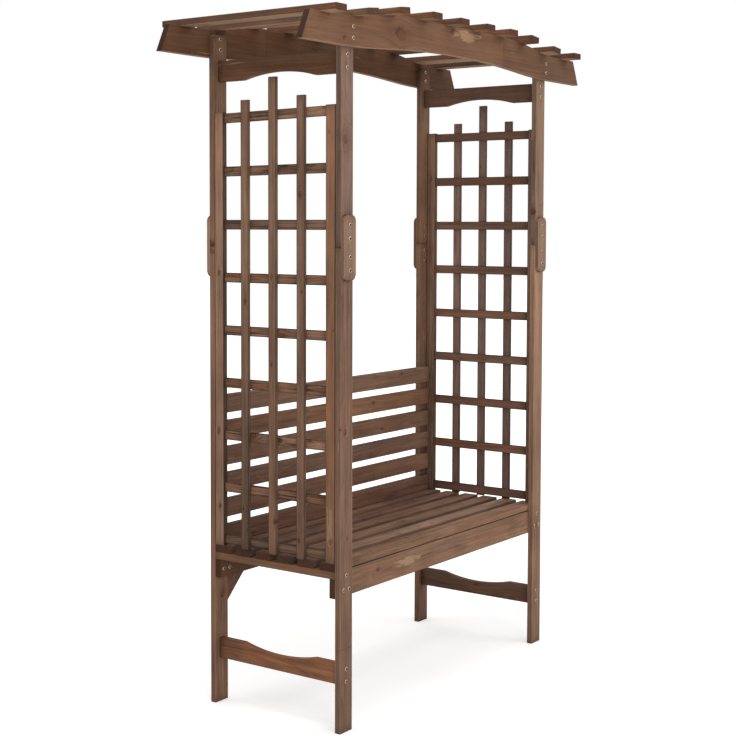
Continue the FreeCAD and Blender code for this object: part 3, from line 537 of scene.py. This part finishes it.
# Knots that stand out, and dark spots that paint the uprights' shadows on a trellis rail: a point on the
# board, their radius, and how dark they are.
KNOTS_AND_SHADOW_SPOTS = {
    "post_upper_front_left": [((-0.5415, -0.237, 1.639), 0.0105, 0.55)],
    "post_lower_front_left": [((-0.531, -0.237, 0.542), 0.003, 0.9),
                              ((-0.562, -0.237, 0.846), 0.003, 0.8)],
    "post_lower_back_left": [((-0.566, 0.2304, 1.328), 0.0036, 0.9),
                             ((-0.53, 0.219, 0.32), 0.008, 0.8)],
    "post_upper_back_left": [((-0.566, 0.228, 1.350), 0.0045, 0.9)],
    "post_upper_front_right": [((0.5095, -0.237, 1.452), 0.0065, 0.9)],
    "roof_beam_front": [((-0.311, -0.257, 1.937), 0.0165, 0.75), ((-0.578, -0.257, 1.899), 0.0055, 0.8),
                        ((-0.035, -0.257, 1.975), 0.007, 0.8)],
    "trellis_left_stile_back": [((-0.566, 0.1995, 1.2677), 0.006, 0.75),
                                ((-0.566, 0.202, 0.809), 0.007, 0.6),
                                ((-0.566, 0.198, 0.589), 0.005, 0.9)],
    "trellis_left_stile_front": [((-0.566, -0.204, 0.533), 0.006, 0.5)],
    "trellis_left_uprights": [((-0.571, -0.101, 1.487), 0.004, 0.9), ((-0.571, -0.108, 1.22), 0.004, 0.9),
                              ((-0.571, 0.001, 1.26), 0.006, 0.5), ((-0.571, 0.001, 1.012), 0.0035, 0.9),
                              ((-0.571, -0.01, 0.566), 0.005, 0.9), ((-0.571, 0.098, 1.187), 0.004, 0.8)],
    # The first three sit just beside the three uprights and paint their shadows on the rail, over dark
    # figure.
    "trellis_left_rails": [((-0.561, 0.076, 0.807), 0.007, 1.0), ((-0.561, -0.019, 0.798), 0.006, 1.0),
                           ((-0.561, -0.124, 0.807), 0.006, 0.9), ((-0.561, -0.028, 1.096), 0.007, 0.9),
                           ((-0.561, -0.092, 0.951), 0.004, 0.9), ((-0.561, 0.045, 0.939), 0.004, 0.9)],
    "seat_slat_1": [((-0.367, -0.198, 0.471), 0.003, 0.9)],
    "seat_slat_2": [((-0.126, -0.135, 0.471), 0.0055, 1.0)],
    "seat_slat_3": [((0.149, -0.025, 0.471), 0.003, 0.9)],
    "seat_slat_4": [((-0.029, 0.018, 0.471), 0.004, 1.0)],
    "seat_slat_5": [((0.211, 0.116, 0.471), 0.005, 1.0), ((0.004, 0.092, 0.471), 0.0035, 0.9)],
    "side_stretcher_right": [((0.5285, -0.007, 0.17), 0.006, 0.9)],
}

# Where the planer tore most: a point on the board and half the length of the patch.
TORN = {
    "roof_beam_front": ((0.042, -0.257, 1.972), 0.09),
    "seat_apron_front": ((-0.21, -0.219, 0.416), 0.07),
    "seat_slat_1": ((-0.49, -0.19, 0.471), 0.10),
    "trellis_left_stile_front": ((-0.566, -0.2, 0.57), 0.06),
}

# Finger joints: a point on the joint, and how much paler or, below zero, darker the stain is beyond it.
JOINTS = {
    "roof_beam_front": ((0.2565, -0.257, 1.94), -0.14),
    "post_lower_front_left": ((-0.53, -0.237, 0.234), -0.10),
    "roof_beam_back": ((-0.31, 0.237, 1.94), -0.12),
}

# Nine metres along lies past the end of every board.
NO_KNOT = (0, 9, 0.001, 0)
NOT_TORN = (0, 9, 0.1)
NOT_JOINTED = (9, 0, 0)
JOINT_LINE = 0.4

# A knot shows on a board that its middle misses by no more than this.
KNOT_MISS = 0.004

# Points of one corner, hair-thin faces, faces of one flat side, and the edges that are eased.
SAME_POINT = 0.00002
HAIR_WIDTH = 0.00001
FLAT_ANGLE = math.radians(0.4)
ARRIS_ANGLE = math.radians(28)

# The sharpest bend that is shaded as a curve, on boards and on metal.
BOARD_CURVE = math.radians(15)
METAL_CURVE = math.radians(40)

# How squarely a face looks along the grain to count as end grain.
END_TURN = 0.8


def board_axes(mesh):
    """Width, thickness and grain directions of a board, from its largest face and longest edge."""
    flat = max(mesh.polygons, key=lambda face: face.area).normal.copy()
    edges = [mesh.vertices[edge.vertices[1]].co - mesh.vertices[edge.vertices[0]].co for edge in mesh.edges]
    grain = max(edges, key=lambda edge: edge.length).normalized()
    if grain[max(range(3), key=lambda axis: abs(grain[axis]))] < 0:
        grain = -grain
    thick = (flat - grain * flat.dot(grain)).normalized()
    return grain.cross(thick), thick, grain


def wild_knots(luck, reach):
    """A few small knots at random places of a board."""
    largest = min(0.007, reach.x * 0.35)
    count = min(KNOTS_EACH, int(reach.z * luck.uniform(1.5, 5)))
    return [(luck.uniform(-0.8, 0.8) * reach.x, luck.uniform(-0.95, 0.95) * reach.z,
             luck.uniform(0.002, largest), luck.uniform(0.4, 1.0)) for _ in range(count)]


def mark_grain(board, node, number, axes, stain, luck):
    """Store where each point lies in the board, and the board's own figure, knots, worn arrises and painted
    light and shade.
    """
    mesh = board.data
    points = [Vector([point.co.dot(axis) for axis in axes]) for point in mesh.vertices]
    low, high = extent(points)
    middle = (low + high) / 2
    reach = (high - low) / 2

    def spot(point):
        return Vector([Vector(point).dot(axis) for axis in axes]) - middle

    turn = luck.uniform(0, 2 * math.pi)
    away = luck.uniform(0.03, 0.09)
    knots = wild_knots(luck, reach)
    for point, size, tone in reversed(KNOTS_AND_SHADOW_SPOTS.get(node, [])):
        place = spot(point)
        if all(abs(place[i]) < reach[i] + KNOT_MISS for i in range(3)):
            knots.insert(0, (place.x, place.z, size, tone))
    knots = (knots + [NO_KNOT] * KNOTS_EACH)[:KNOTS_EACH]
    torn = NOT_TORN
    if node in TORN:
        point, length = TORN[node]
        torn = (spot(point).x, spot(point).z, length)
    joint = NOT_JOINTED
    if node in JOINTS:
        point, tone = JOINTS[node]
        joint = (spot(point).z, tone, JOINT_LINE)
    notes = {"reach": reach, "stain": stain, "torn": torn, "joint": joint,
             "heart": (away * math.cos(turn), away * math.sin(turn), luck.uniform(0, 40)),
             "knot_tone": [knot[3] for knot in knots], "wear_and_side_shade": longest_fit(WEAR_AND_SIDE_SHADE, node),
             "painted_face_light_and_end_tone": longest_fit(PAINTED_FACE_LIGHT_AND_END_TONE, node), "painted_shading_along": longest_fit(PAINTED_SHADING_ALONG, f"{node} {number}")}
    for order, knot in enumerate(knots):
        notes[f"knot_{order + 1}"] = knot[:3]
    values = {name: [note] * len(points) for name, note in notes.items()}
    values["place"] = [point - middle for point in points]
    for name in values:
        mesh.attributes.new(name, "FLOAT_VECTOR", "POINT")
    for name, rows in values.items():
        mesh.attributes[name].data.foreach_set("vector", [part for row in rows for part in row])
    for face in mesh.polygons:
        face.material_index = 1 if abs(face.normal.dot(axes[2])) > END_TURN else 0


def shaped_board(board, node):
    """Clean a board, round its arrises and return its axes."""
    with all_of(board):
        bpy.ops.mesh.remove_doubles(threshold=SAME_POINT)
        bpy.ops.mesh.dissolve_limited(angle_limit=FLAT_ANGLE)
    axes = board_axes(board.data)
    apply_modifier(board, "BEVEL", "arris", width=longest_fit(ARRIS, node), segments=2,
                   limit_method="ANGLE", angle_limit=ARRIS_ANGLE)
    with all_of(board):
        bpy.ops.mesh.remove_doubles(threshold=HAIR_WIDTH)
        bpy.ops.mesh.dissolve_degenerate(threshold=HAIR_WIDTH)
    return axes


def middle_height(board):
    """Where a board comes in the order from low to high, then from front to back."""
    low, high = extent(board.bound_box)
    middle = (low + high) / 2
    return round(middle.z, 3), round(middle.y, 3)


def dress(node):
    """Replace a node by finished boards, one for each solid in it."""
    select_only(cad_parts[node])
    bpy.ops.object.duplicate()
    copy = bpy.context.view_layer.objects.active
    copy.parent = None
    for key in [key for key in copy.keys() if key.startswith("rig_")]:
        del copy[key]
    with all_of(copy):
        bpy.ops.mesh.remove_doubles(threshold=SAME_POINT)
        bpy.ops.mesh.separate(type="LOOSE")
    boards = sorted(bpy.context.selected_objects, key=middle_height)
    stains = longest_fit(STAINS, node)
    first = int(node[-2:]) if node[-2:].isdigit() else ord(node[-1])
    for number, board in enumerate(boards):
        luck = random.Random(f"{node} {number}")
        board.data.materials.clear()
        board.data.materials.append(FACE_GRAIN)
        board.data.materials.append(END_GRAIN)
        axes = shaped_board(board, node)
        red, green, blue = stains[(first + number) % len(stains)]
        lift = 1 + luck.uniform(-0.04, 0.04)
        warm = luck.uniform(-0.02, 0.02)
        stain = linear(red * lift * (1 + warm), green * lift, blue * lift * (1 - warm))
        mark_grain(board, node, number, axes, stain, luck)
    select_only(*boards)
    if len(boards) > 1:
        bpy.ops.object.join()
    piece = bpy.context.view_layer.objects.active
    piece.name = f"{node}_timber"
    bpy.ops.object.shade_smooth_by_angle(angle=BOARD_CURVE)
    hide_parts(node)
    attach(piece, "root")


for node in sorted(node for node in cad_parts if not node.endswith("screws")):
    dress(node)


HEAD_RADIUS = 0.0058
HEAD_HEIGHT = 0.0030
RECESS_LENGTH = 0.0054
RECESS_WIDTH = 0.0014
DOME_WIDTH = 0.0024
TAPER_WIDTH = 0.0005

# From a screw's crown to the underside of its head, and how far a screw driven in from behind
# stands out of the back posts at least.
HEAD_SET = 0.0032
HEAD_PROUD = 0.001

# The rim outside the first radius carries painted shade round the head, in tarnished steel; the recess
# within the second, below the crown, is tarnished.
RIM_RADIUS = 0.0054
RECESS_RADIUS = 0.0034
RECESS_TOP = 0.0020


def screw_head():
    """One raised screw head with a cross recess, its underside at the origin and its crown along +Z."""
    bpy.ops.mesh.primitive_cylinder_add(vertices=28, radius=HEAD_RADIUS, depth=HEAD_HEIGHT,
                                        location=(0, 0, HEAD_HEIGHT / 2))
    head = bpy.context.object
    apply_modifier(head, "BEVEL", "dome", width=DOME_WIDTH, segments=5, limit_method="ANGLE",
                   angle_limit=math.radians(60), profile=0.55)
    blades = []
    for turn in (0, math.pi / 2):
        bpy.ops.mesh.primitive_cube_add(size=1, location=(0, 0, HEAD_HEIGHT), rotation=(0, 0, turn),
                                        scale=(RECESS_LENGTH, RECESS_WIDTH, HEAD_HEIGHT))
        blades.append(bpy.context.object)
    for blade in blades:
        apply_modifier(blade, "BEVEL", "taper", width=TAPER_WIDTH, segments=1)
        apply_modifier(head, "BOOLEAN", "recess", operation="DIFFERENCE", object=blade, solver="EXACT")
        bpy.data.objects.remove(blade)
    head.data.materials.append(SCREW_PLATE)
    head.data.materials.append(SCREW_SHADE)
    for face in head.data.polygons:
        out = math.hypot(face.center.x, face.center.y)
        in_recess = out < RECESS_RADIUS and face.center.z < RECESS_TOP
        # Painted shade on the rim; tarnish in the recess.
        face.material_index = 1 if out > RIM_RADIUS or in_recess else 0
    return head


def solids_of(node):
    """The lowest and highest corner of each solid in a node."""
    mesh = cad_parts[node].data
    key_of = {vertex.index: tuple(round(part, 5) for part in vertex.co) for vertex in mesh.vertices}
    parent = {key: key for key in key_of.values()}

    def root(key):
        while parent[key] != key:
            parent[key] = parent[parent[key]]
            key = parent[key]
        return key

    for face in mesh.polygons:
        keys = [key_of[index] for index in face.vertices]
        for key in keys[1:]:
            parent[root(key)] = root(keys[0])
    groups = {}
    for key in parent:
        groups.setdefault(root(key), []).append(key)
    return sorted([extent(keys) for keys in groups.values()], key=lambda box: tuple(box[0]))


def copy_to(source, matrix):
    """A copy with its own mesh, its place baked in."""
    twin = source.copy()
    twin.data = source.data.copy()
    scene.collection.objects.link(twin)
    twin.data.transform(matrix)
    twin.matrix_world = Matrix.Identity(4)
    return twin


def finish_group(parts, name, *nodes):
    """Join repeated parts into one named piece."""
    select_only(*parts)
    bpy.ops.object.join()
    piece = bpy.context.view_layer.objects.active
    piece.name = name
    bpy.ops.object.shade_smooth_by_angle(angle=METAL_CURVE)
    if nodes:
        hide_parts(*nodes)
    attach(piece, "root")


def place_screws(head):
    """A detailed head on every screw: it sits at the thick end, and the shank is hidden in the timber."""
    back_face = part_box("post_lower_back_left")[1].y
    for node in ("splice_screws", "roof_beam_screws", "frame_screws"):
        heads = []
        for number, (low, high) in enumerate(solids_of(node)):
            luck = random.Random(f"{node} screw {number}")
            middle = (low + high) / 2
            # Heads face the front, except on screws driven in from behind the back posts.
            from_behind = node == "frame_screws" and low.y > 0 and high.y > back_face + HEAD_PROUD
            towards = 1 if from_behind else -1
            face = high.y - HEAD_SET if from_behind else low.y + HEAD_SET
            spin = Matrix.Rotation(luck.uniform(0, math.pi / 2), 4, "Z")
            lay = Matrix.Rotation(-towards * math.pi / 2, 4, "X")
            spot = Matrix.Translation((middle.x, face, middle.z))
            heads.append(copy_to(head, spot @ lay @ spin))
        finish_group(heads, f"{node}_heads", node)


head = screw_head()
place_screws(head)
bpy.data.objects.remove(head)


BRAD_RADIUS = 0.0019
BRAD_HEIGHT = 0.0010
BRAD_SUNK = 0.0004
BRAD_RIM = 0.0004

# From a brad to a slat's long edge, to a backrest slat's end, to a post's middle and to a roof
# slat's middle, and from the single nail to its post's middle.
BRAD_TO_EDGE = 0.016
BRAD_TO_END = 0.014
BRAD_TO_POST = 0.012
BRAD_TO_MIDDLE = 0.012
NAIL_TO_POST = 0.006
SEAT_SLATS = range(1, 7)
ROOF_SLATS = range(1, 11)


def brad_head():
    """A small round brad head, its crown just proud of the timber."""
    bpy.ops.mesh.primitive_cylinder_add(vertices=12, radius=BRAD_RADIUS, depth=BRAD_HEIGHT,
                                        location=(0, 0, 0))
    brad = bpy.context.object
    apply_modifier(brad, "BEVEL", "rim", width=BRAD_RIM, segments=2, limit_method="ANGLE")
    brad.data.materials.append(BRAD_STEEL)
    return brad


def place_brads(brad):
    """Brads through the seat slats, backrest slats and roof slats."""
    spots = []
    upward = Vector((0, 0, 1))
    forward = Vector((0, -1, 0))
    post_middle = middle_of("post_lower_front_right").x
    for number in SEAT_SLATS:
        low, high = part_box(f"seat_slat_{number}")
        for x in (BRAD_TO_POST - post_middle, 0, post_middle - BRAD_TO_POST):
            for y in (low.y + BRAD_TO_EDGE, high.y - BRAD_TO_EDGE):
                spots.append((Vector((x, y, high.z)), upward))
        low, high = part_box(f"backrest_slat_{number}")
        for x in (low.x + BRAD_TO_END, high.x - BRAD_TO_END):
            for z in (low.z + BRAD_TO_EDGE, high.z - BRAD_TO_EDGE):
                spots.append((Vector((x, low.y, z)), forward))
    # One nail stands at the joint of the right back post.
    upper_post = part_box("post_upper_back_right")[0]
    spots.append((Vector((post_middle + NAIL_TO_POST, upper_post.y, upper_post.z)), forward))
    beam_middle = middle_of("roof_beam_back").y
    for number in ROOF_SLATS:
        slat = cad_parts[f"roof_slat_{number:02d}"].data
        normal = max(slat.polygons, key=lambda face: (round(face.area, 4), face.normal.z)).normal.copy()
        middle = middle_of(f"roof_slat_{number:02d}")
        reach = max((vertex.co - middle).dot(normal) for vertex in slat.vertices)
        side = Vector((0, 1, 0)).cross(normal)
        for y in (-beam_middle, beam_middle):
            for shift in (-BRAD_TO_MIDDLE, BRAD_TO_MIDDLE):
                spots.append((middle + normal * reach + side * shift + Vector((0, y, 0)), normal))
    brads = []
    for spot, normal in spots:
        turn = upward.rotation_difference(normal).to_matrix().to_4x4()
        brads.append(copy_to(brad, Matrix.Translation(spot - normal * BRAD_SUNK) @ turn))
    finish_group(brads, "brad_heads")


brad = brad_head()
place_brads(brad)
bpy.data.objects.remove(brad)


FLOOR_WIDTH = 60

# Each lamp's name, place, aim, power and width.
LAMPS = (
    ("front lamp", (-1.8, -2.6, 1.7), (0, 0, 1.2), 29, 2.0),
    ("high front lamp", (1.2, -3.2, 3.2), (0, -0.3, 0.8), 34, 2.4),
    ("roof lamp", (-0.5, 0.3, 4.6), (0, 0, 0), 56, 2.4),
)

VIEW_PLACE = (-3.69846, -2.57096, 1.39778)
VIEW_YAW = math.radians(54.393)
VIEW_PITCH = math.radians(-3.202)
VIEW_ROLL = math.radians(0.16)
FOCAL_LENGTH = 70.547
FILM_WIDTH = 36
FILM_SHIFT = -0.0816


def pale_floor():
    """A pale floor that fades to white and keeps the seat's shadow."""
    bpy.ops.mesh.primitive_plane_add(size=FLOOR_WIDTH, location=(0, 0, 0))
    floor = bpy.context.object
    floor.name = "floor"
    material = bpy.data.materials.new("pale floor")
    finish = Finish(material)
    x, y = finish.split(finish.node("ShaderNodeTexCoord", {}, {}, "Object"))[:2]
    far = (x * x + y * y).power(0.5).ramp(0.9, 3.5)
    ray = finish.node("ShaderNodeLightPath", {}, {}, "Is Camera Ray")
    finish.surface(Base_Color=(0.9, 0.9, 0.9), Roughness=0.9, Specular_IOR_Level=0.0,
                   Emission_Color=(1, 1, 1), Emission_Strength=ray * (far * 0.4 + 0.42))
    floor.data.materials.append(material)


def soft_light():
    """A white room that lights softly from all round, and three large lamps at the front and above."""
    world = bpy.data.worlds.new("studio")
    scene.world = world
    finish = Finish(world)
    rays = [finish.node("ShaderNodeLightPath", {}, {}, f"Is {kind} Ray")
            for kind in ("Camera", "Glossy", "Transmission")]
    seen = rays[0].above(rays[1]).above(rays[2])
    finish.surface(Color=(1, 1, 1), Strength=seen * 0.45 + 0.55)
    for name, place, aim, power, width in LAMPS:
        bpy.ops.object.light_add(type="AREA", location=place)
        lamp = bpy.context.object
        lamp.name = name
        lamp.data.energy = power
        lamp.data.size = width
        lamp.visible_camera = False
        lamp.rotation_euler = (Vector(place) - Vector(aim)).to_track_quat("Z", "Y").to_euler()


def camera():
    """The view from standing height, off the left front corner."""
    level = math.cos(VIEW_PITCH)
    ahead = Vector((math.sin(VIEW_YAW) * level, math.cos(VIEW_YAW) * level, math.sin(VIEW_PITCH)))
    right = ahead.cross(Vector((0, 0, 1))).normalized()
    up = right.cross(ahead)
    tilted_right = right * math.cos(VIEW_ROLL) + up * math.sin(VIEW_ROLL)
    tilted_up = up * math.cos(VIEW_ROLL) - right * math.sin(VIEW_ROLL)
    bpy.ops.object.camera_add()
    view = bpy.context.object
    turn = Matrix((tilted_right, tilted_up, -ahead)).transposed().to_4x4()
    view.matrix_world = Matrix.Translation(VIEW_PLACE) @ turn
    view.data.lens = FOCAL_LENGTH
    view.data.sensor_width = FILM_WIDTH
    view.data.shift_y = FILM_SHIFT
    scene.camera = view


pale_floor()
soft_light()
camera()
scene.view_settings.view_transform = "Standard"
